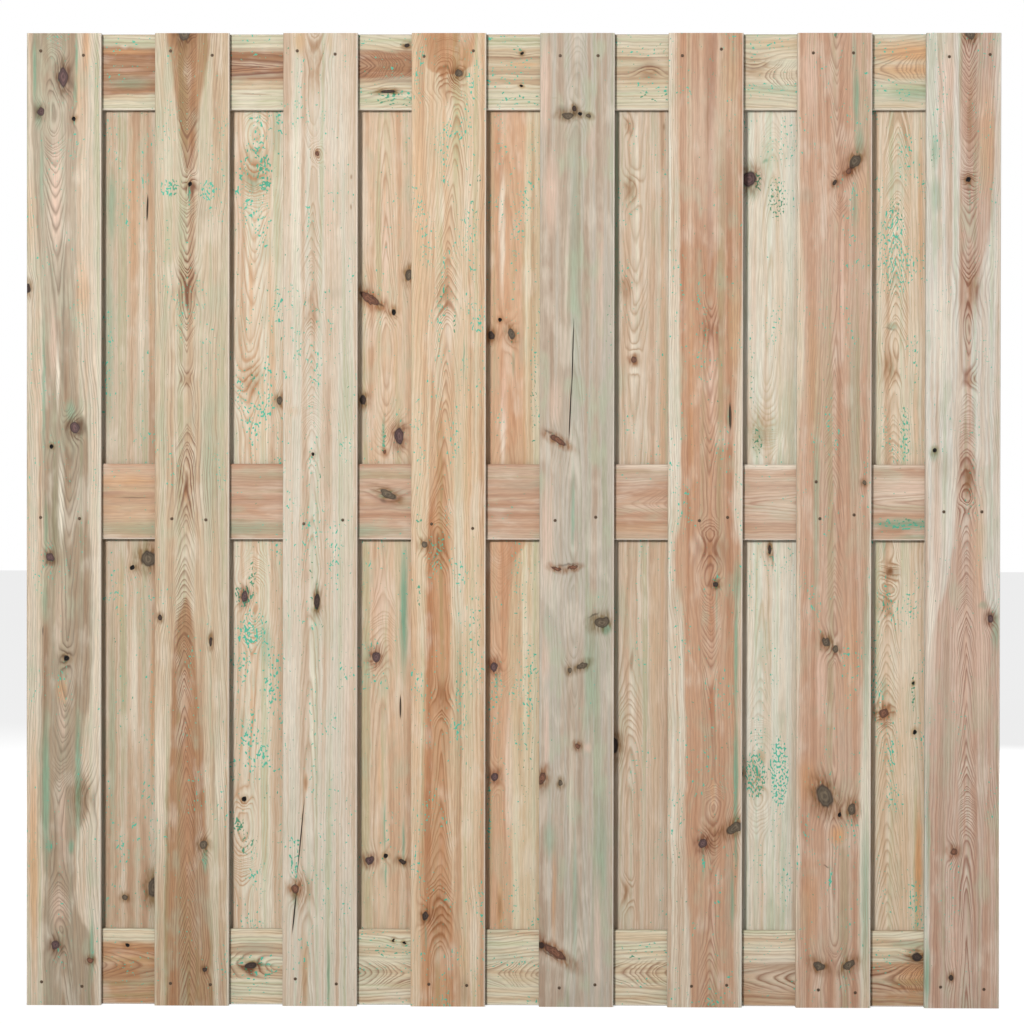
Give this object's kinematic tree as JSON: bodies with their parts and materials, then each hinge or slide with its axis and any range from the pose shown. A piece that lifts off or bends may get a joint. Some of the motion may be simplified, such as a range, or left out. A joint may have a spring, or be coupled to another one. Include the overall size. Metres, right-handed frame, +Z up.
{
  "type": "garden fence panel",
  "caption": "Square timber screen panel: upright planks nailed in turn to the front and back of flat rails, so that wind passes but sight doesn't.",
  "frame": {"origin": "left edge of the panel at its bottom, halfway through its thickness, on the face that meets the post", "axes": "+X across the panel from the left post to the right one, +Y from the front to the back, +Z up"},
  "size_m": [1.8, 0.045, 1.8],
  "materials": {
    "front_pine": "planed, pressure-treated",
    "back_pine": "planed, pressure-treated",
    "rail_pine": "planed, pressure-treated",
    "nails": "dulled"
  },
  "bodies": {
    "root": {"rail_top": "rail_pine", "rail_middle": "rail_pine", "rail_bottom": "rail_pine", "front_plank_1": "front_pine", "front_plank_2": "front_pine", "front_plank_3": "front_pine", "front_plank_4": "front_pine", "front_plank_5": "front_pine", "front_plank_6": "front_pine", "front_plank_7": "front_pine", "front_plank_8": "front_pine", "back_plank_1": "back_pine", "back_plank_2": "back_pine", "back_plank_3": "back_pine", "back_plank_4": "back_pine", "back_plank_5": "back_pine", "back_plank_6": "back_pine", "back_plank_7": "back_pine"}
  },
  "joints": []
}
